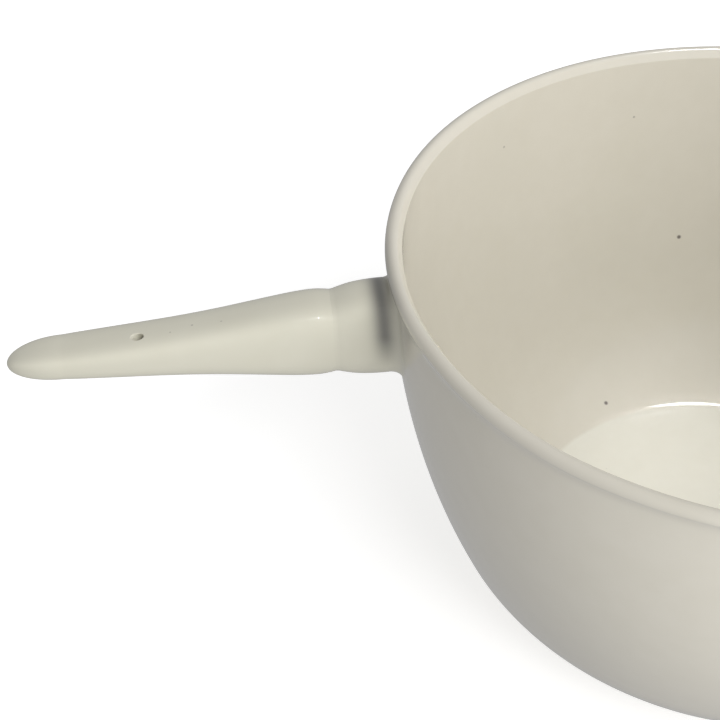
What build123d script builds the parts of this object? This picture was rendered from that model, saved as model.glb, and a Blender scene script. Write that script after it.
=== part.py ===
from build123d import *

import os
from math import asin, atan2, cos, degrees, radians, sin, sqrt, tan

# Porcelain evaporating dish with a hollow handle.
#
# Five clay pieces, joined with slip and fired together: a turned bowl, a short hollow stub on
# the bowl's wall, a hollow slip-cast handle, and the two rings of joining slip between them.
# Millimetres, +Z up. The origin is the centre of the foot, on the surface that the dish stands
# on, and the handle runs along -X.

# Bowl, outside
RIM_RADIUS = 75.0
BEAD_RADIUS = 1.4  # rounding of the rim's outer edge
BEAD_HEIGHT = 80.8  # centre of that rounding
BEAD_UNDERCUT = 25.0  # steepest slope, in degrees from upright, of the swelling below the rim
NECK_HEIGHT = 77.0  # where the swelling starts
GIRTH = 74.0  # radius that the wall's curve would reach if it went on until upright
WALL_ARC = 160.0  # radius of the long curve of the wall
CORNER_ARC = 31.0  # radius of the curve that brings the wall in to the foot
FOOT_RADIUS = 32.5
FOOT_RING = 5.0  # width of the flat ring that the dish stands on
FOOT_RECESS = 0.8  # depth of the underside inside the ring

# Bowl, inside
RIM_WIDTH = 3.3
RIM_SLOPE = 55.0  # degrees that the rim's top falls towards the inside
RIM_INNER_EASE = 0.5
INSIDE_UPRIGHT_HEIGHT = 80.0  # where the inside of the wall is upright
INSIDE_ARC = 140.0  # rounder than the outside, so that the wall thickens downwards
INSIDE_TURN = -24.5  # angle, in degrees, where that curve gives way to the corner's
CREASE_RADIUS = 42.6  # where the wall meets the floor
CREASE_HEIGHT = 4.9
CREASE_EASE = 6.0
FLOOR_HEIGHT = 4.1  # at the centre

# Handle and stub: positions run outwards from the root plane, along the handle's axis
ROOT_RADIUS = 73.9
ROOT_HEIGHT = 69.65
DROOP = 2.2  # degrees that the axis falls towards the tip
STUB_LENGTH = 10.6
SEAM = 0.8  # thickness of the slip between stub and handle
SEAM_SUNK = 0.25  # the slip stands this much below the ends of stub and handle
HOLLOW_WALL = 2.3
HOLLOW_SECTIONS = 11  # the air space follows the handle's first sections
SLIP_START = -1.8  # the slip collar's ends; its start lies inside the wall
SLIP_END = 3.8
SLIP_SPREAD = 2.6  # how far it swells below and beside the stub
SLIP_SPREAD_ABOVE = 1.2
SLIP_FEATHER = 0.12  # its thickness where it runs out on the stub
SLIP_STEPS = 4

# Sections: position, width, height
SQUARENESS = 0.82  # 0.55 would make a section an ellipse, 1 a rectangle
STUB_SECTIONS = [
    (-4.0, 12.4, 17.7),  # inside the wall, where it is cut off
    (0.0, 12.4, 17.9),
    (3.6, 12.3, 17.95),
    (7.3, 12.0, 17.2),
    (STUB_LENGTH, 11.5, 15.4),
]
HANDLE_SECTIONS = [
    (STUB_LENGTH + SEAM, 11.5, 15.1),
    (14.2, 11.8, 15.7),
    (17.9, 11.7, 15.3),
    (22.2, 11.4, 14.15),
    (27.0, 11.05, 12.7),
    (32.2, 10.75, 11.1),
    (37.4, 10.45, 9.8),
    (42.3, 10.3, 8.75),
    (46.8, 10.15, 7.95),
    (51.0, 10.05, 7.25),
    (54.8, 9.85, 6.65),
    (58.3, 9.6, 6.15),
    (61.4, 9.25, 5.7),
]
DOME_LENGTH = 10.5
DOME_ANGLES = [20, 40, 58, 74]  # stations of the domed tip
TIP_DROP = 0.3  # the very tip lies this much below the axis

# Kiln vent, pierced by hand through the top of the handle
VENT_POSITION = 47.3
VENT_ASIDE = 1.2  # off the middle of the handle, towards -Y
VENT_LEAN = 35.0  # degrees that its mouth leans from the handle's upright towards the tip
VENT_RADIUS = 0.95
VENT_DEPTH = 4.0
VENT_CLEAR = 2.0  # how far the piercing tool is taken past the surface

# The long curve of the wall and the corner curve touch where the wall turns into the foot.
belly_r = GIRTH - WALL_ARC
belly_z = CORNER_ARC + sqrt((WALL_ARC - CORNER_ARC) ** 2 - (FOOT_RADIUS - belly_r) ** 2)
turn = degrees(atan2(CORNER_ARC - belly_z, FOOT_RADIUS - belly_r))
neck = degrees(asin((NECK_HEIGHT - belly_z) / WALL_ARC))

handle_root = Plane(
    origin=(-ROOT_RADIUS, 0, ROOT_HEIGHT),
    x_dir=(0, -1, 0),
    z_dir=(-cos(radians(DROOP)), 0, -sin(radians(DROOP))),
)


def arc(centre, radius, start, end):
    """Arc of a circle in the current BuildLine, from one angle in degrees to another."""
    return CenterArc(centre, radius, start, end - start)


def wall_arc(centre, radius, start, end):
    """The same arc as a Bezier curve, exact, for the long curves of the wall.

    Their circles reach past the bowl's axis, where a revolved circle would cross itself.
    """
    half = radians(end - start) / 2
    middle = radians(start + end) / 2
    places = (
        (radians(start), radius),
        (middle, radius / cos(half)),
        (radians(end), radius),
    )
    points = [(centre[0] + r * cos(a), centre[1] + r * sin(a)) for a, r in places]
    return Bezier(*points, weights=(1, cos(half), 1))


def outside():
    """Outline of the bowl's outside, from the foot ring to the crown of the rim."""
    bead_r = RIM_RADIUS - BEAD_RADIUS
    arc((FOOT_RADIUS, CORNER_ARC), CORNER_ARC, -90, turn)
    wall = wall_arc((belly_r, belly_z), WALL_ARC, turn, neck)
    bead = arc((bead_r, BEAD_HEIGHT), BEAD_RADIUS, -BEAD_UNDERCUT, 90 + RIM_SLOPE)
    TangentArc(wall @ 1, bead @ 0, tangent=wall % 1)
    return bead @ 1


def make_bowl():
    inner_r = RIM_RADIUS - RIM_WIDTH
    inner_centre = (inner_r - INSIDE_ARC, INSIDE_UPRIGHT_HEIGHT)
    with BuildPart() as bowl:
        with BuildSketch(Plane.XZ) as profile:
            with BuildLine():
                crown = outside()
                rim_fall = (crown.X - inner_r) * tan(radians(RIM_SLOPE))
                rim_edge = (inner_r, crown.Y - rim_fall)
                wall = wall_arc(inner_centre, INSIDE_ARC, 0, INSIDE_TURN)
                corner = TangentArc(wall @ 1, (CREASE_RADIUS, CREASE_HEIGHT), tangent=wall % 1)
                TangentArc((0, FLOOR_HEIGHT), corner @ 1, tangent=(1, 0))
                Polyline(crown, rim_edge, wall @ 0)
                Polyline(
                    (0, FLOOR_HEIGHT),
                    (0, FOOT_RECESS),
                    (FOOT_RADIUS - FOOT_RING - FOOT_RECESS, FOOT_RECESS),
                    (FOOT_RADIUS - FOOT_RING, 0),
                    (FOOT_RADIUS, 0),
                )
            make_face()
            rim_corner = profile.vertices().sort_by_distance((*rim_edge, 0))[0]
            fillet(rim_corner, radius=RIM_INNER_EASE)
            crease = profile.vertices().sort_by_distance((CREASE_RADIUS, CREASE_HEIGHT, 0))[0]
            fillet(crease, radius=CREASE_EASE)
        revolve(axis=Axis.Z)
    return bowl


def make_envelope():
    """The bowl's outside filled solid, to cut what is stuck onto its wall."""
    with BuildPart() as envelope:
        with BuildSketch(Plane.XZ):
            with BuildLine():
                crown = outside()
                Polyline(crown, (0, crown.Y), (0, 0), (FOOT_RADIUS, 0))
            make_face()
        revolve(axis=Axis.Z)
    return envelope


def section(position, width, height, shift=0):
    """One section at its place on the axis: a quarter of the outline, mirrored twice."""
    place = handle_root.offset(position)
    a = width / 2
    b = height / 2
    with BuildSketch(Plane(place.origin + place.y_dir * shift, place.x_dir, place.z_dir)) as face:
        with BuildLine():
            Bezier((a, 0), (a, SQUARENESS * b), (SQUARENESS * a, b), (0, b))
            mirror(about=Plane.YZ)
            mirror(about=Plane.XZ)
        make_face()
    return face.sketch


def hollow(sections):
    """The sections of the air space inside the given outer sections."""
    shrink = 2 * HOLLOW_WALL
    return [section(position, w - shrink, h - shrink) for position, w, h in sections]


def make_stub(envelope):
    with BuildPart() as stub:
        loft([section(*row) for row in STUB_SECTIONS])
        loft(hollow(STUB_SECTIONS), mode=Mode.SUBTRACT)
        add(envelope.part, mode=Mode.SUBTRACT)
    return stub


def make_collar(envelope):
    """Joining slip at the root: it swells towards the wall, more below the stub than above."""
    _, width, height = STUB_SECTIONS[2]
    rings = []
    for step in range(SLIP_STEPS + 1):
        along = step / SLIP_STEPS
        below = SLIP_FEATHER + SLIP_SPREAD * (1 - along) ** 2
        above = SLIP_FEATHER + SLIP_SPREAD_ABOVE * (1 - along) ** 2
        position = SLIP_START + along * (SLIP_END - SLIP_START)
        shift = (above - below) / 2
        rings.append(section(position, width + 2 * below, height + below + above, shift))
    with BuildPart() as collar:
        loft(rings)
        loft([section(*row) for row in STUB_SECTIONS], mode=Mode.SUBTRACT)
        add(envelope.part, mode=Mode.SUBTRACT)
    return collar


def make_seam():
    """Joining slip at the waist, a ring between the ends of stub and handle."""
    _, width, height = HANDLE_SECTIONS[0]
    ends = [(STUB_LENGTH, width, height), (STUB_LENGTH + SEAM, width, height)]
    with BuildPart() as seam:
        loft([section(s, w - 2 * SEAM_SUNK, h - 2 * SEAM_SUNK) for s, w, h in ends])
        loft(hollow(ends), mode=Mode.SUBTRACT)
    return seam


def dome_sections():
    """The last section shrinks to a point along a quarter of an ellipse, dropping a little."""
    start, width, height = HANDLE_SECTIONS[-1]
    sections = []
    for angle in DOME_ANGLES:
        share = cos(radians(angle))
        along = sin(radians(angle))
        position = start + DOME_LENGTH * along
        sections.append(section(position, width * share, height * share, -TIP_DROP * along**2))
    return sections


def vent_plane():
    """Plane at the middle of the vent's mouth, its normal along the vent."""
    height = min(HANDLE_SECTIONS, key=lambda row: abs(row[0] - VENT_POSITION))[2]
    place = handle_root.offset(VENT_POSITION)
    mouth = place.origin + place.x_dir * VENT_ASIDE + place.y_dir * (height / 2)
    lean = radians(VENT_LEAN)
    return Plane(mouth, place.x_dir, place.y_dir * cos(lean) + place.z_dir * sin(lean))


def make_handle():
    place = handle_root.offset(HANDLE_SECTIONS[-1][0] + DOME_LENGTH)
    tip = place.origin - place.y_dir * TIP_DROP
    with BuildPart() as handle:
        loft([*(section(*row) for row in HANDLE_SECTIONS), *dome_sections(), Vertex(*tip)])
        loft(hollow(HANDLE_SECTIONS[:HOLLOW_SECTIONS]), mode=Mode.SUBTRACT)
        with BuildSketch(vent_plane().offset(VENT_CLEAR)):
            Circle(VENT_RADIUS)
        extrude(amount=-VENT_CLEAR - VENT_DEPTH, mode=Mode.SUBTRACT)
    return handle


def main():
    envelope = make_envelope()
    pieces = {
        "bowl": make_bowl(),
        "handle_stub": make_stub(envelope),
        "root_slip_fillet": make_collar(envelope),
        "waist_slip_seam": make_seam(),
        "handle": make_handle(),
    }
    os.makedirs("parts", exist_ok=True)
    for name, piece in pieces.items():
        piece.part.label = name
        export_step(piece.part, f"parts/{name}.step")


main()
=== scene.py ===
from math import asin, atan2, cos, degrees, exp, hypot, pi, radians, sin, sqrt, tan

import bmesh
import bpy
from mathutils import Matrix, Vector, noise


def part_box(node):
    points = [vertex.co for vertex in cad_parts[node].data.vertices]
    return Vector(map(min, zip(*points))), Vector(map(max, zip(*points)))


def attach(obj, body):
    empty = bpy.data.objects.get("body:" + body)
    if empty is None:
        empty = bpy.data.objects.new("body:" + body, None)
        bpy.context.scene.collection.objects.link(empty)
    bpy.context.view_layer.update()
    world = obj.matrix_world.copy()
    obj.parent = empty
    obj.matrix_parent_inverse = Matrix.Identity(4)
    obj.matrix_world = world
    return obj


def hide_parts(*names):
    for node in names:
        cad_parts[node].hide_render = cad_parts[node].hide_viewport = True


# Glazed porcelain evaporating dish. Lengths below are in millimetres, in the frame of the CAD
# model: origin at the centre of the foot, +Z up, handle along -X. MM turns them into metres.
MM = 0.001

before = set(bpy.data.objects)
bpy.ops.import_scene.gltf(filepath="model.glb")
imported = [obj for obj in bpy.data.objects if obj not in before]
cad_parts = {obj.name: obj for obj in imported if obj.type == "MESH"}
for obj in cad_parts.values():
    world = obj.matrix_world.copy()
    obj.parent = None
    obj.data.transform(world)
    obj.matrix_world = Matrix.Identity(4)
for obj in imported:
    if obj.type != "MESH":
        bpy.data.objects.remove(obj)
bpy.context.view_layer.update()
bowl_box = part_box("bowl")
handle_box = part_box("handle")

RIM_RADIUS = bowl_box[1].y / MM
RIM_TOP = bowl_box[1].z / MM
HANDLE_TIP = -handle_box[0].x / MM

# ---------------------------------------------------------------- shape of the bowl
BEAD_RADIUS = 1.4
BEAD_HEIGHT = RIM_TOP - BEAD_RADIUS
BEAD_UNDERCUT = 25  # degrees of the bead that show under its widest place
NECK_HEIGHT = RIM_TOP - 5.2
GIRTH = RIM_RADIUS - 1.0  # radius of the wall where it would be upright
WALL_ARC = 160.0
CORNER_ARC = 31.0
FOOT_RADIUS = 32.5
FOOT_RING = 5.0
FOOT_RECESS = 0.8
FOOT_EASE = 0.3
RECESS_EASE = 0.6
RIM_WIDTH = 3.3
RIM_SLOPE = 55.0
RIM_INNER_EASE = 0.5
INSIDE_UPRIGHT_HEIGHT = 80.0
INSIDE_ARC = 140.0
INSIDE_TURN = -24.5
CREASE = (42.6, 4.9)  # radius and height
CREASE_EASE = 6.0
FLOOR_HEIGHT = 4.1
BOWL_SEGMENTS = 360

# The long curve of the wall touches the corner's curve, and would be upright at BELLY[1].
BELLY_REACH = sqrt((WALL_ARC - CORNER_ARC) ** 2 - (FOOT_RADIUS - GIRTH + WALL_ARC) ** 2)
BELLY = (GIRTH - WALL_ARC, CORNER_ARC + BELLY_REACH)
WALL_TURN = degrees(atan2(CORNER_ARC - BELLY[1], FOOT_RADIUS - BELLY[0]))

# ---------------------------------------------------------------- shape of the handle
ROOT_RADIUS = 73.9
ROOT_HEIGHT = 69.65
DROOP = radians(2.2)
SQUARENESS = 0.82
HOLLOW_WALL = 2.3
STUB_START = -0.6  # the stub begins a little inside the wall's skin
STUB_END = 10.6
SEAM_END = 11.4
HOLLOW_END = 54.8
BODY_END = 61.4
TIP_DROP = 0.3
SECTIONS = [  # position along the axis, width, height
    (-4.0, 12.4, 17.7),
    (0.0, 12.4, 17.9),
    (3.6, 12.3, 17.95),
    (7.3, 12.0, 17.2),
    (STUB_END, 11.5, 15.4),
    (SEAM_END, 11.5, 15.1),
    (14.2, 11.8, 15.7),
    (17.9, 11.7, 15.3),
    (22.2, 11.4, 14.15),
    (27.0, 11.05, 12.7),
    (32.2, 10.75, 11.1),
    (37.4, 10.45, 9.8),
    (42.3, 10.3, 8.75),
    (46.8, 10.15, 7.95),
    (51.0, 10.05, 7.25),
    (HOLLOW_END, 9.85, 6.65),
    (58.3, 9.6, 6.15),
    (BODY_END, 9.25, 5.7),
]
HANDLE_LENGTH = (HANDLE_TIP - ROOT_RADIUS - TIP_DROP * sin(DROOP)) / cos(DROOP)

# The seam is a shallow valley in the skin of the handle.
VALLEY_AT = (STUB_END + SEAM_END) / 2
VALLEY_DEPTH = 0.06
VALLEY_WIDTH = 0.7

# The vent was pierced by hand, slanting, and the glaze rounds its mouth.
VENT_AT = 47.3
VENT_ASIDE = 1.2
VENT_LEAN = radians(35)
VENT_RADIUS = 0.95
VENT_DEPTH = 4.0
VENT_ABOVE = 2.0  # how far the cutter stands out over the skin
MOUTH_LONG = 1.35
MOUTH_WIDE = 1.08
MOUTH_DEEP = 0.28
MOUTH_OUTWARDS = 0.05

# The wall was turned and fettled by hand: beside the handle it lies a little in, then out.
BENDS = [  # angle from +X, reach, depth inwards
    (radians(199), radians(9), 0.24),
    (radians(223), radians(9), -0.26),
]
BEND_FROM = 35.0  # height from which the bends grow
WAVE_DEPTH = 0.09
WAVE_LENGTH = 60.0
WAVE_FROM = 20.0  # height at which the waves are full
FLOOR_ASIDE = (-1.0, -1.6)  # the inside floor was turned a little off the middle
FLOOR_ASIDE_FADE = 18.0

# Joining slip at the root: how far it spreads over the wall from the corner.
SLIP_ABOVE = 0.9
SLIP_BESIDE = 2.8
SLIP_BELOW = 1.9
SLIP_ALONG = 1.2  # and along the stub, as a share of that
SLIP_FEATHER = 0.03
SLIP_BACK = 0.5

# A dark band of painted shade lies where the stub spreads into the wall.
ROOT_SHADE_STRENGTH = 0.97
ROOT_SHADE_OUT = 2.7  # the band's middle, off the wall
ROOT_SHADE_REACH = 1.9
ROOT_SHADE_LOW = -0.6  # where it begins, as a share of the stub's half height
ROOT_SHADE_FADE = 0.8
ROOT_SHADE_WIDTH = 12.0


# ---------------------------------------------------------------- helpers for meshes
def arc(centre, radius, start, end, count):
    """Points on an arc, angles in degrees, both ends included."""
    angles = [radians(start + (end - start) * i / count) for i in range(count + 1)]
    return [(centre[0] + radius * cos(a), centre[1] + radius * sin(a)) for a in angles]


def tangent_arc(start, end, heading, count):
    """Points on the arc that leaves start along heading, in degrees, and reaches end."""
    chord = hypot(end[0] - start[0], end[1] - start[1])
    towards = atan2(end[1] - start[1], end[0] - start[0])
    bend = towards - radians(heading)
    bend = (bend + pi) % (2 * pi) - pi
    radius = chord / (2 * sin(bend))
    points = []
    for i in range(count + 1):
        turned = 2 * bend * i / count
        middle = radians(heading) + turned / 2
        reach = 2 * radius * sin(turned / 2)
        points.append((start[0] + reach * cos(middle), start[1] + reach * sin(middle)))
    return points


def ease_corner(before, corner, after, radius, count):
    """Points of a fillet at a corner between two straight stretches."""
    a = Vector(before) - Vector(corner)
    b = Vector(after) - Vector(corner)
    half = a.angle(b) / 2
    reach = min(radius / tan(half), a.length * 0.9, b.length * 0.9)
    p = Vector(corner) + a.normalized() * reach
    q = Vector(corner) + b.normalized() * reach
    c = Vector(corner)
    points = []
    for i in range(count + 1):
        t = i / count
        points.append(tuple((1 - t) ** 2 * p + 2 * t * (1 - t) * c + t * t * q))
    return points


def line(start, end, count):
    """Points between two ends, neither included."""
    return [
        (start[0] + (end[0] - start[0]) * i / count, start[1] + (end[1] - start[1]) * i / count)
        for i in range(1, count)
    ]


def mesh_object(name, points, faces):
    """A mesh object from points in millimetres."""
    mesh = bpy.data.meshes.new(name)
    mesh.from_pydata([tuple(c * MM for c in p) for p in points], [], faces)
    mesh.validate()
    mesh.update()
    obj = bpy.data.objects.new(name, mesh)
    bpy.context.scene.collection.objects.link(obj)
    return obj


def smooth(obj, sharp_angle):
    """Smooth shading, with edges sharper than the angle kept crisp."""
    obj.data.polygons.foreach_set("use_smooth", [True] * len(obj.data.polygons))
    obj.data.set_sharp_from_angle(angle=radians(sharp_angle))


def ring_faces(rings, size):
    """Quads between closed rings of the same size, whose points follow each other in the list."""
    faces = []
    for ring in range(rings - 1):
        for i in range(size):
            j = (i + 1) % size
            a = ring * size
            b = a + size
            faces.append((a + i, a + j, b + j, b + i))
    return faces


# ---------------------------------------------------------------- the bowl
def outer_radius(z):
    """Radius of the bowl's outside at a height between the corner and the neck."""
    return BELLY[0] + sqrt(WALL_ARC**2 - min(0.0, z - BELLY[1]) ** 2)


def drift(angle, z):
    """How far the wall lies inside its round, at an angle from +X and a height."""
    rise = min(1.0, max(0.0, (z - BEND_FROM) / (RIM_TOP - BEND_FROM)))
    turn = angle % (2 * pi)
    bent = sum(depth * exp(-(((turn - at) / reach) ** 2)) for at, reach, depth in BENDS)
    wave = noise.noise(Vector((2 * cos(angle), 2 * sin(angle), z / WAVE_LENGTH))) + 0.5
    return bent * rise**1.5 + WAVE_DEPTH * max(0.0, wave) * min(1.0, z / WAVE_FROM)


def bowl_profile():
    """Outline of half the bowl, from the middle of the underside round to the inside floor."""
    bead = (RIM_RADIUS - BEAD_RADIUS, BEAD_HEIGHT)
    inner_radius = RIM_RADIUS - RIM_WIDTH
    inner_centre = (inner_radius - INSIDE_ARC, INSIDE_UPRIGHT_HEIGHT)
    step_in = (FOOT_RADIUS - FOOT_RING - FOOT_RECESS, FOOT_RECESS)
    foot_in = (FOOT_RADIUS - FOOT_RING, 0.0)
    neck = degrees(asin((NECK_HEIGHT - BELLY[1]) / WALL_ARC))
    points = [(0.0, FOOT_RECESS)]
    points += line(points[0], step_in, 14)
    points += ease_corner(points[-1], step_in, foot_in, RECESS_EASE, 6)
    points += ease_corner(step_in, foot_in, (FOOT_RADIUS, 0.0), FOOT_EASE, 6)
    points += line(points[-1], (FOOT_RADIUS, 0.0), 8)
    points += arc((FOOT_RADIUS, CORNER_ARC), CORNER_ARC, -90, WALL_TURN, 46)
    points += arc(BELLY, WALL_ARC, WALL_TURN, neck, 60)[1:]
    lip = arc(bead, BEAD_RADIUS, -BEAD_UNDERCUT, 90 + RIM_SLOPE, 28)
    points += tangent_arc(points[-1], lip[0], 90 + neck, 12)[1:-1]
    points += lip
    crown = lip[-1]
    rim_edge = (inner_radius, crown[1] - (crown[0] - inner_radius) * tan(radians(RIM_SLOPE)))
    inner_wall = arc(inner_centre, INSIDE_ARC, 0, INSIDE_TURN, 70)
    points += ease_corner(crown, rim_edge, inner_wall[0], RIM_INNER_EASE, 10)
    points += inner_wall
    corner = tangent_arc(inner_wall[-1], CREASE, INSIDE_TURN - 90, 44)
    floor_arc = tangent_arc((0.0, FLOOR_HEIGHT), CREASE, 0, 30)[::-1]
    points += corner[1:-3]
    points += ease_corner(corner[-4], CREASE, floor_arc[2], CREASE_EASE, 12)
    points += floor_arc[3:]
    return points


def make_bowl():
    """The turned bowl. Its inside, past the crown of the rim, drifts aside towards the floor."""
    profile = bowl_profile()
    crown = profile.index(max(profile, key=lambda point: point[1]))
    points = [(0.0, 0.0, profile[0][1])]
    for k, (r, z) in enumerate(profile[1:-1], 1):
        aside = 0.0
        if k > crown:
            aside = exp(-(z - FLOOR_HEIGHT) / FLOOR_ASIDE_FADE)
        for i in range(BOWL_SEGMENTS):
            a = 2 * pi * i / BOWL_SEGMENTS
            reach = r - drift(a, z) * min(1.0, r / CREASE[0])
            x = reach * cos(a) + FLOOR_ASIDE[0] * aside
            y = reach * sin(a) + FLOOR_ASIDE[1] * aside
            points.append((x, y, z))
    points.append((FLOOR_ASIDE[0], FLOOR_ASIDE[1], profile[-1][1]))
    rings = len(profile) - 2
    faces = [tuple(k + 1 for k in quad) for quad in ring_faces(rings, BOWL_SEGMENTS)]
    last = len(points) - 1
    start = 1 + (rings - 1) * BOWL_SEGMENTS
    for i in range(BOWL_SEGMENTS):
        j = (i + 1) % BOWL_SEGMENTS
        faces.append((0, 1 + j, 1 + i))
        faces.append((last, start + i, start + j))
    bowl = mesh_object("bowl_porcelain", points, faces)
    smooth(bowl, 60)
    return bowl


# ---------------------------------------------------------------- the handle
def hermite(rows, column, at):
    """Smooth curve through one column of rows, against their first column."""
    k = 0
    while k < len(rows) - 2 and at > rows[k + 1][0]:
        k += 1

    def slope(m):
        low = max(m - 1, 0)
        high = min(m + 1, len(rows) - 1)
        return (rows[high][column] - rows[low][column]) / (rows[high][0] - rows[low][0])

    gap = rows[k + 1][0] - rows[k][0]
    t = (at - rows[k][0]) / gap
    return (
        (2 * t**3 - 3 * t**2 + 1) * rows[k][column]
        + (t**3 - 2 * t**2 + t) * gap * slope(k)
        + (3 * t**2 - 2 * t**3) * rows[k + 1][column]
        + (t**3 - t**2) * gap * slope(k + 1)
    )


STUB_ROWS = [row for row in SECTIONS if row[0] <= STUB_END]
SEAM_ROWS = [row for row in SECTIONS if STUB_END <= row[0] <= SEAM_END]
HANDLE_ROWS = [row for row in SECTIONS if row[0] >= SEAM_END]


def section_size(at):
    """Half width and half height of the handle's outside at a position along its axis."""
    if at > BODY_END:
        share = (at - BODY_END) / (HANDLE_LENGTH - BODY_END)
        scale = sqrt(max(0.0, 1 - share * share))
        return SECTIONS[-1][1] / 2 * scale, SECTIONS[-1][2] / 2 * scale
    rows = HANDLE_ROWS
    if at < SEAM_END:
        rows = SEAM_ROWS if at > STUB_END else STUB_ROWS
    valley = VALLEY_DEPTH * exp(-(((at - VALLEY_AT) / VALLEY_WIDTH) ** 2))
    return hermite(rows, 1, at) / 2 - valley, hermite(rows, 2, at) / 2 - valley


def outline(a, b, quarter=28):
    """Closed outline of a section: four Bezier quarters. Points are (across, up)."""
    points = []
    for turn in range(4):
        sign_a = 1 if turn in (0, 3) else -1
        sign_b = 1 if turn in (0, 1) else -1
        for i in range(quarter):
            t = i / quarter
            if turn in (1, 3):
                t = 1 - t
            x = a * ((1 - t) ** 3 + 3 * (1 - t) ** 2 * t + 3 * (1 - t) * t * t * SQUARENESS)
            y = b * (3 * (1 - t) ** 2 * t * SQUARENESS + 3 * (1 - t) * t * t + t**3)
            points.append((sign_a * x, sign_b * y))
    return points


OUT = Vector((-cos(DROOP), 0, -sin(DROOP)))
RISE = Vector((-sin(DROOP), 0, cos(DROOP)))
ACROSS = Vector((0, -1, 0))


def place(at, across, up):
    """A point on a section, in the frame of the model."""
    if at > BODY_END:
        up -= TIP_DROP * ((at - BODY_END) / (HANDLE_LENGTH - BODY_END)) ** 2
    return Vector((-ROOT_RADIUS, 0, ROOT_HEIGHT)) + OUT * at + RISE * up + ACROSS * across


def skin(stations, shrink=0.0):
    """Rings of points of the handle's outside, or of its hollow when shrunk."""
    rings = []
    for at in stations:
        a, b = section_size(at)
        ring = outline(max(a - shrink, 0.02), max(b - shrink, 0.02))
        rings.append([place(at, x, y) for x, y in ring])
    return rings


def spaced(start, end, step):
    """Even stations from start to end, about a step apart."""
    count = max(2, round((end - start) / step))
    return [start + (end - start) * i / count for i in range(count + 1)]


def closed_tube(name, outer, inner):
    """A tube from rings of its outside and its inside, both from the root outwards."""
    size = len(outer[0])
    rings = outer + inner[::-1]
    points = [p for ring in rings for p in ring]
    faces = ring_faces(len(rings), size)
    last = (len(rings) - 1) * size
    faces += [(last + i, last + (i + 1) % size, (i + 1) % size, i) for i in range(size)]
    return mesh_object(name, points, faces)


def face_outwards(obj):
    """Turn every face's normal to the outside of its closed mesh."""
    mesh = bmesh.new()
    mesh.from_mesh(obj.data)
    bmesh.ops.recalc_face_normals(mesh, faces=mesh.faces)
    mesh.to_mesh(obj.data)
    mesh.free()


def make_stub():
    stations = spaced(STUB_START, STUB_END, 0.35)
    bore = skin([STUB_START, STUB_END], HOLLOW_WALL)
    stub = closed_tube("stub_porcelain", skin(stations), bore)
    face_outwards(stub)
    smooth(stub, 50)
    return stub


def make_seam():
    stations = spaced(STUB_END, SEAM_END, 0.2)
    bore = skin([STUB_END, SEAM_END], HOLLOW_WALL)
    seam = closed_tube("waist_seam_slip", skin(stations), bore)
    face_outwards(seam)
    smooth(seam, 50)
    return seam


def cutter_object(name, origin, axis, profile):
    """A turned solid about an axis: profile is (radius across, radius along, height)."""
    along = axis.cross(ACROSS).normalized()
    size = 72
    points = []
    for wide, long, h in profile:
        for i in range(size):
            t = 2 * pi * i / size
            points.append(origin + axis * h + along * (long * cos(t)) + ACROSS * (wide * sin(t)))
    faces = ring_faces(len(profile), size)
    faces.append(tuple(range(size)))
    faces.append(tuple(range((len(profile) - 1) * size, len(profile) * size)))
    cutter = mesh_object(name, points, faces)
    face_outwards(cutter)
    return cutter


def subtract(obj, cutter):
    """Cut one mesh out of another, and remove the cutter."""
    cut = obj.modifiers.new("cut", "BOOLEAN")
    cut.object = cutter
    cut.operation = "DIFFERENCE"
    cut.solver = "EXACT"
    bpy.context.view_layer.objects.active = obj
    bpy.ops.object.modifier_apply(modifier=cut.name)
    bpy.data.objects.remove(cutter)


def pierce_vent(handle):
    """A slanting round hole whose mouth is dished, as glaze draws back from an edge."""
    mouth = place(VENT_AT, VENT_ASIDE, section_size(VENT_AT)[1])
    fall = (section_size(VENT_AT - 1)[1] - section_size(VENT_AT + 1)[1]) / 2
    upright = (RISE + OUT * fall).normalized()
    dish = []
    steps = 16
    for i in range(1, steps):
        t = pi * i / steps
        dish.append((MOUTH_WIDE * sin(t), MOUTH_LONG * sin(t), -MOUTH_DEEP * cos(t)))
    subtract(handle, cutter_object("dish", mouth + OUT * MOUTH_OUTWARDS, upright, dish))
    slant = RISE * cos(VENT_LEAN) + OUT * sin(VENT_LEAN)
    pin = [(VENT_RADIUS, VENT_RADIUS, h) for h in (-VENT_DEPTH, VENT_ABOVE)]
    subtract(handle, cutter_object("pin", mouth, slant, pin))


def make_handle():
    """The handle, open into its air space at the seam, with a domed tip and the vent."""
    body = spaced(SEAM_END, BODY_END, 0.4)
    dome_length = HANDLE_LENGTH - BODY_END
    dome = [BODY_END + dome_length * sin(radians(a)) for a in range(3, 90, 3)]
    outer = skin(body + dome)
    inner = skin(spaced(SEAM_END, HOLLOW_END, 1.2), HOLLOW_WALL)
    size = len(outer[0])
    rings = outer[::-1] + inner
    points = [p for ring in rings for p in ring]
    faces = ring_faces(len(rings), size)
    tip = len(points)
    points.append(place(HANDLE_LENGTH, 0, 0))
    end = len(points)
    points.append(place(HOLLOW_END, 0, 0))
    last = (len(rings) - 1) * size
    for i in range(size):
        j = (i + 1) % size
        faces.append((tip, j, i))
        faces.append((end, last + i, last + j))
    handle = mesh_object("handle_porcelain", points, faces)
    face_outwards(handle)
    pierce_vent(handle)
    smooth(handle, 40)
    return handle


def wall_point(y, z, sunk=0.0):
    """The point of the bowl's outside, on the handle's side, at a height and side distance."""
    r = outer_radius(z) - sunk
    r -= drift(pi - asin(y / r), z)
    return Vector((-sqrt(r * r - y * y), y, z))


def stub_meets_wall(x, y):
    """Where a line of the stub's skin, at this place on its section, enters the wall."""
    at = 0.0
    for _ in range(6):
        a, b = section_size(at)
        p = place(at, x * a, y * b)
        q = wall_point(p.y, p.z)
        at += (p.x - q.x) / cos(DROOP)
    return at


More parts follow.
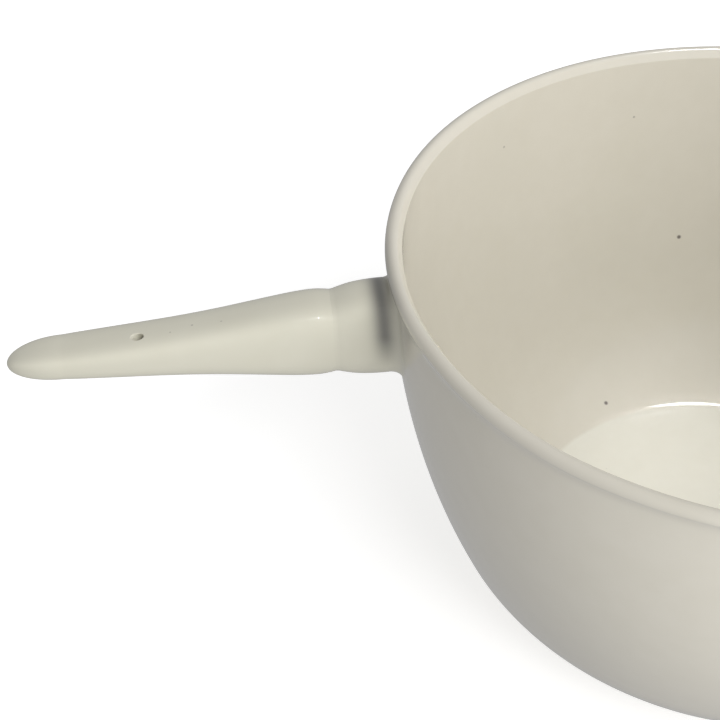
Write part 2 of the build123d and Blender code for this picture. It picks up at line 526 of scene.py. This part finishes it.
def make_collar():
    """Joining slip: from each point where the stub enters the wall, a concave fillet."""
    shape = outline(1.0, 1.0, 40)
    steps = 14
    rings = [[] for _ in range(steps + 1)]
    back = [[] for _ in range(3)]
    for x, y in shape:
        lean = y / hypot(x, y)
        above = max(lean, 0) ** 2
        below = max(-lean, 0) ** 2
        spread = SLIP_ABOVE * above + SLIP_BELOW * below + SLIP_BESIDE * (1 - above - below)
        at = stub_meets_wall(x, y)
        a, b = section_size(at)
        corner = place(at, x * a, y * b)
        a, b = section_size(at + spread * SLIP_ALONG)
        on_stub = place(at + spread * SLIP_ALONG, x * a, y * b)
        centre = place(at, 0, 0)
        outward = corner - centre
        outward.x = 0
        outward.normalize()
        foot = corner + outward * spread
        on_wall = wall_point(foot.y, foot.z, SLIP_FEATHER)
        inward = (centre - corner).normalized()
        on_stub += inward * SLIP_FEATHER
        for k in range(steps + 1):
            t = k / steps
            rings[k].append((1 - t) ** 2 * on_stub + 2 * t * (1 - t) * corner + t * t * on_wall)
        back[0].append(wall_point(foot.y, foot.z, SLIP_BACK))
        back[1].append(corner - OUT * SLIP_BACK + inward * SLIP_BACK)
        back[2].append(on_stub + inward * SLIP_BACK)
    loops = rings + back
    points = [p for ring in loops for p in ring]
    size = len(shape)
    faces = ring_faces(len(loops), size)
    last = (len(loops) - 1) * size
    faces += [(last + i, last + (i + 1) % size, (i + 1) % size, i) for i in range(size)]
    collar = mesh_object("root_collar_slip", points, faces)
    face_outwards(collar)
    smooth(collar, 50)
    return collar


# ---------------------------------------------------------------- materials
GLAZE = (0.757, 0.720, 0.630)
HANDLE_GLAZE = (0.748, 0.726, 0.612)
# painted light: the inside floor is coloured lighter, standing for the light it gets from above
FLOOR_PAINTED_LIGHT = (0.84, 0.825, 0.745)
# painted shade: the near-black colour of the band at the handle's root
ROOT_SHADE_COLOUR = (0.15, 0.147, 0.135)
BARE_CLAY = (0.78, 0.75, 0.69)
IRON_SPECK = (0.13, 0.11, 0.10)
CLOUD_TINT = (0.962, 0.965, 0.955)
MOTTLE_TINT = (0.985, 0.983, 0.978)
WORN_TINT = (0.93, 0.92, 0.90)
FLOOR_LIGHT_EDGE = 0.8  # the width over which the floor's painted light gives way to the wall's tone
PINHOLE_SPACING = 11.0


def feed(tree, socket, value):
    """Link a socket to another, or set its constant."""
    if isinstance(value, bpy.types.NodeSocket):
        tree.links.new(value, socket)
    else:
        socket.default_value = value


def blend(tree, share, first, second, kind="MIX"):
    """Mix two colours, or multiply the first by the second."""
    node = tree.nodes.new("ShaderNodeMix")
    node.data_type = "RGBA"
    node.blend_type = kind
    feed(tree, node.inputs[0], share)
    feed(tree, node.inputs[6], first)
    feed(tree, node.inputs[7], second)
    return node.outputs[2]


def ramp(tree, value, start, end, low=0.0, high=1.0):
    """Carry a value over from start..end to low..high, and hold it outside."""
    node = tree.nodes.new("ShaderNodeMapRange")
    node.inputs["From Min"].default_value = start
    node.inputs["From Max"].default_value = end
    node.inputs["To Min"].default_value = low
    node.inputs["To Max"].default_value = high
    feed(tree, node.inputs["Value"], value)
    return node.outputs["Result"]


def tinted(tree, share, colour, tint):
    """A colour that goes over to its product with a tint."""
    return blend(tree, share, colour, blend(tree, 1.0, colour, (*tint, 1), "MULTIPLY"))


def grain(tree, position, size, detail=2.0):
    """Noise with features of about this size, in millimetres."""
    node = tree.nodes.new("ShaderNodeTexNoise")
    node.inputs["Scale"].default_value = 1 / (size * MM)
    node.inputs["Detail"].default_value = detail
    feed(tree, node.inputs["Vector"], position)
    return node.outputs["Fac"]


def ripple(tree, height, depth, normal=None):
    """A bump of this depth, in millimetres."""
    node = tree.nodes.new("ShaderNodeBump")
    node.inputs["Distance"].default_value = depth * MM
    feed(tree, node.inputs["Height"], height)
    if normal:
        feed(tree, node.inputs["Normal"], normal)
    return node.outputs["Normal"]


def painted(tree, name):
    """What paint() laid on the mesh under this name."""
    node = tree.nodes.new("ShaderNodeAttribute")
    node.attribute_name = name
    return node.outputs["Fac"]


def porcelain(name, tone, specks):
    """Glazed porcelain, with painted light on the inside floor and painted shade at the handle's
    root. Specks are (place, radius, strength) in millimetres.
    """
    material = bpy.data.materials.new(name)
    material.use_nodes = True
    tree = material.node_tree
    shader = tree.nodes["Principled BSDF"]
    position = tree.nodes.new("ShaderNodeTexCoord").outputs["Object"]
    # painted light: the inside floor takes a lighter tone than the wall
    colour = blend(tree, painted(tree, "floor"), (*tone, 1), (*FLOOR_PAINTED_LIGHT, 1))
    clouds = ramp(tree, grain(tree, position, 38), 0.3, 0.7)
    colour = tinted(tree, clouds, colour, CLOUD_TINT)
    mottle = ramp(tree, grain(tree, position, 5, 4), 0.35, 0.65)
    colour = tinted(tree, mottle, colour, MOTTLE_TINT)
    # painted shade: the band at the handle's root goes over to near-black
    colour = blend(tree, painted(tree, "root_shade"), colour, (*ROOT_SHADE_COLOUR, 1))
    cells = tree.nodes.new("ShaderNodeTexVoronoi")
    cells.inputs["Scale"].default_value = 1 / (PINHOLE_SPACING * MM)
    feed(tree, cells.inputs["Vector"], position)
    pinhole = ramp(tree, cells.outputs["Distance"], 0.010, 0.022, 0.35, 0.0)
    colour = blend(tree, pinhole, colour, (*IRON_SPECK, 1))
    for place_mm, radius, strength in specks:
        gap = tree.nodes.new("ShaderNodeVectorMath")
        gap.operation = "DISTANCE"
        feed(tree, gap.inputs[0], position)
        gap.inputs[1].default_value = Vector(place_mm) * MM
        spot = ramp(tree, gap.outputs["Value"], radius * 0.45 * MM, radius * MM, strength, 0.0)
        colour = blend(tree, spot, colour, (*IRON_SPECK, 1))
    feed(tree, shader.inputs["Base Color"], colour)
    broad = ripple(tree, grain(tree, position, 16, 1), 0.020)
    peel = ripple(tree, grain(tree, position, 3, 1), 0.003, broad)
    feed(tree, shader.inputs["Normal"], broad)
    feed(tree, shader.inputs["Coat Normal"], peel)
    shader.inputs["Roughness"].default_value = 0.35
    shader.inputs["IOR"].default_value = 1.5
    shader.inputs["Coat Weight"].default_value = 1.0
    shader.inputs["Coat Roughness"].default_value = 0.05
    return material


def bare_clay():
    """The ring the dish stands on is wiped clean of glaze before firing."""
    material = bpy.data.materials.new("bare_clay")
    material.use_nodes = True
    tree = material.node_tree
    shader = tree.nodes["Principled BSDF"]
    position = tree.nodes.new("ShaderNodeTexCoord").outputs["Object"]
    tone = ramp(tree, grain(tree, position, 1.5, 4), 0.35, 0.65)
    feed(tree, shader.inputs["Base Color"], tinted(tree, tone, (*BARE_CLAY, 1), WORN_TINT))
    feed(tree, shader.inputs["Normal"], ripple(tree, grain(tree, position, 0.5, 3), 0.02))
    shader.inputs["Roughness"].default_value = 0.85
    shader.inputs["Specular IOR Level"].default_value = 0.3
    return material


def floor_light_share(p):
    """Share of painted light: 1 on the inside floor, 0 beyond the crease around it."""
    if not FLOOR_HEIGHT - 1 < p.z < CREASE[1] + 1:
        return 0.0
    reach = hypot(p.x - FLOOR_ASIDE[0], p.y - FLOOR_ASIDE[1])
    return min(1.0, max(0.0, (CREASE[0] - reach) / FLOOR_LIGHT_EDGE + 0.5))


def root_shade_share(p):
    """How much painted shade lies in the band where the stub spreads into the wall."""
    if p.x > 0:
        return 0.0
    out = hypot(p.x, p.y) - outer_radius(min(p.z, NECK_HEIGHT))
    if out < -1.0:
        return 0.0
    up = (p.z - ROOT_HEIGHT) / section_size(0)[1]
    fade = min(1.0, max(0.0, (up - ROOT_SHADE_LOW) / ROOT_SHADE_FADE)) * exp(-((p.y / ROOT_SHADE_WIDTH) ** 4))
    return ROOT_SHADE_STRENGTH * fade * exp(-(((out - ROOT_SHADE_OUT) / ROOT_SHADE_REACH) ** 2))


def paint(piece):
    """Lay the shares of painted light and painted shade on the mesh, for the glaze to read."""
    points = [v.co / MM for v in piece.data.vertices]
    for name, share in (("floor", floor_light_share), ("root_shade", root_shade_share)):
        layer = piece.data.attributes.new(name, "FLOAT", "POINT")
        layer.data.foreach_set("value", [share(p) for p in points])


def inside_place(angle, r, z):
    """A place on the bowl's inside, from an angle in degrees, a radius and a height."""
    a = radians(angle)
    return (r * cos(a), r * sin(a), z)


def top_place(at, across):
    """A place on the handle's upper side."""
    return place(at, across, section_size(at)[1])


# ---------------------------------------------------------------- build the dish
BOWL_SPECKS = [
    (inside_place(126.6, 71.3, 69.9), 0.35, 0.5),
    (inside_place(98.4, 71.1, 67.2), 0.35, 0.5),
    (inside_place(87.9, 64.7, 37.1), 0.60, 0.9),
    (inside_place(112.4, 45.3, 7.0), 0.60, 0.9),
]
HANDLE_SPECKS = [
    (top_place(37.1, 0.64), 0.30, 0.35),
    (top_place(41.2, 1.49), 0.25, 0.3),
    (top_place(31.7, 1.17), 0.25, 0.3),
]
bowl_glaze = porcelain("bowl_glaze", GLAZE, BOWL_SPECKS)
handle_glaze = porcelain("handle_glaze", HANDLE_GLAZE, HANDLE_SPECKS)
slip_glaze = porcelain("slip_glaze", HANDLE_GLAZE, [])
bowl = make_bowl()
stub = make_stub()
seam = make_seam()
handle = make_handle()
collar = make_collar()
pieces = [
    (bowl, "bowl", "bowl_glaze", bowl_glaze),
    (stub, "handle_stub", "handle_glaze", handle_glaze),
    (collar, "root_slip_fillet", "slip_glaze", slip_glaze),
    (seam, "waist_slip_seam", "slip_glaze", slip_glaze),
    (handle, "handle", "handle_glaze", handle_glaze),
]
for piece, node, slot, glaze in pieces:
    paint(piece)
    piece.data.materials.clear()
    piece.data.materials.append(glaze)
    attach(piece, "root")
    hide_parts(node)

bowl.data.materials.append(bare_clay())
for face in bowl.data.polygons:
    middle = face.center / MM
    if middle.z < FOOT_EASE and hypot(middle.x, middle.y) > FOOT_RADIUS - FOOT_RING:
        face.material_index = 1

# ---------------------------------------------------------------- floor
bpy.ops.mesh.primitive_plane_add(size=8)
ground = bpy.context.object
ground.name = "floor"
ground_material = bpy.data.materials.new("pale_floor")
ground_material.use_nodes = True
ground_shader = ground_material.node_tree.nodes["Principled BSDF"]
ground_shader.inputs["Base Color"].default_value = (0.85, 0.85, 0.85, 1)
ground_shader.inputs["Roughness"].default_value = 0.9
ground_shader.inputs["Specular IOR Level"].default_value = 0.1
ground_shader.inputs["Emission Color"].default_value = (1, 1, 1, 1)
ground_shader.inputs["Emission Strength"].default_value = 0.55
ground.data.materials.append(ground_material)
ground.visible_diffuse = False
ground.visible_glossy = False

# ---------------------------------------------------------------- light, in metres and watts
SOFTBOX_DISTANCE = 1.6
SOFTBOX_SIZE = 0.6

world = bpy.data.worlds.new("studio")
bpy.context.scene.world = world
world.use_nodes = True
world.node_tree.nodes["Background"].inputs["Color"].default_value = (1, 1, 1, 1)
world.node_tree.nodes["Background"].inputs["Strength"].default_value = 0.42


def aim(light, azimuth, elevation, distance, target):
    """Place a light; azimuth 0 is at -Y, in front, and 90 at +X."""
    a, e = radians(azimuth), radians(elevation)
    way = Vector((sin(a) * cos(e), -cos(a) * cos(e), sin(e)))
    light.location = Vector(target) + way * distance
    light.rotation_euler = (-way).to_track_quat("-Z", "Y").to_euler()
    bpy.context.scene.collection.objects.link(light)


def softbox(name, azimuth, elevation, power):
    """A square light, too soft for the glaze to mirror."""
    data = bpy.data.lights.new(name, "AREA")
    data.shape = "SQUARE"
    data.size = SOFTBOX_SIZE
    data.energy = power
    light = bpy.data.objects.new(name, data)
    light.visible_glossy = False
    light.visible_camera = False
    aim(light, azimuth, elevation, SOFTBOX_DISTANCE, (0, 0, RIM_TOP * MM / 2))


def gridded(name, azimuth, elevation, distance, width, height, spread, power, target):
    """A light behind a grid, for its mirror image at a target in millimetres."""
    data = bpy.data.lights.new(name, "AREA")
    data.shape = "RECTANGLE"
    data.size = width
    data.size_y = height
    data.spread = radians(spread)
    data.energy = power
    light = bpy.data.objects.new(name, data)
    light.visible_diffuse = False
    light.visible_camera = False
    aim(light, azimuth, elevation, distance, Vector(target) * MM)


softbox("front_right", 32, 12, 5.2)
softbox("front", 0, 10, 2.6)
softbox("front_high", 14, 42, 6.4)
softbox("right_high", 66, 50, 5.8)
softbox("side", 124, 12, 3.0)
gridded("strip", 116, 75, 0.5, 0.10, 0.09, 15, 0.009, (-1, *CREASE))  # on the back of the crease
gridded("catchlight", 7, 52, 0.1, 0.003, 0.02, 10, 0.0001, (-88.1, -4.4, 75.9))  # on the handle

# A narrow lamp from above lights the inside floor.
lamp = bpy.data.lights.new("overhead", "SPOT")
lamp.energy = 13.5
lamp.shadow_soft_size = 0.012
lamp.spot_size = radians(6.2)
lamp.spot_blend = 1.0
overhead = bpy.data.objects.new("overhead", lamp)
overhead.visible_glossy = False
aim(overhead, 0, 88, 1.1, (0.003, 0.004, FLOOR_HEIGHT * MM))

# White paper in front lifts the underside of the wall.
paper = bpy.data.lights.new("paper", "AREA")
paper.shape = "RECTANGLE"
paper.size = 0.18
paper.size_y = 0.16
paper.energy = 0.11
sheet = bpy.data.objects.new("paper", paper)
sheet.location = (-0.01, -0.20, 0.003)
sheet.rotation_euler = (pi, 0, 0)
sheet.visible_camera = False
sheet.visible_glossy = False
bpy.context.scene.collection.objects.link(sheet)

# ---------------------------------------------------------------- camera
CAMERA_PLACE = (-0.1058, -0.2333, 0.2601)
CAMERA_TURN = radians(6.3)
CAMERA_PITCH = radians(40.26)
CAMERA_LENS = 80.8
camera_data = bpy.data.cameras.new("camera")
camera_data.sensor_width = 36
camera_data.lens = CAMERA_LENS
camera_data.clip_start = 0.01
camera = bpy.data.objects.new("camera", camera_data)
camera.location = CAMERA_PLACE
look = Vector(
    (sin(CAMERA_TURN) * cos(CAMERA_PITCH), cos(CAMERA_TURN) * cos(CAMERA_PITCH), -sin(CAMERA_PITCH))
)
camera.rotation_euler = look.to_track_quat("-Z", "Y").to_euler()
bpy.context.scene.collection.objects.link(camera)
bpy.context.scene.camera = camera
bpy.context.scene.view_settings.view_transform = "Standard"
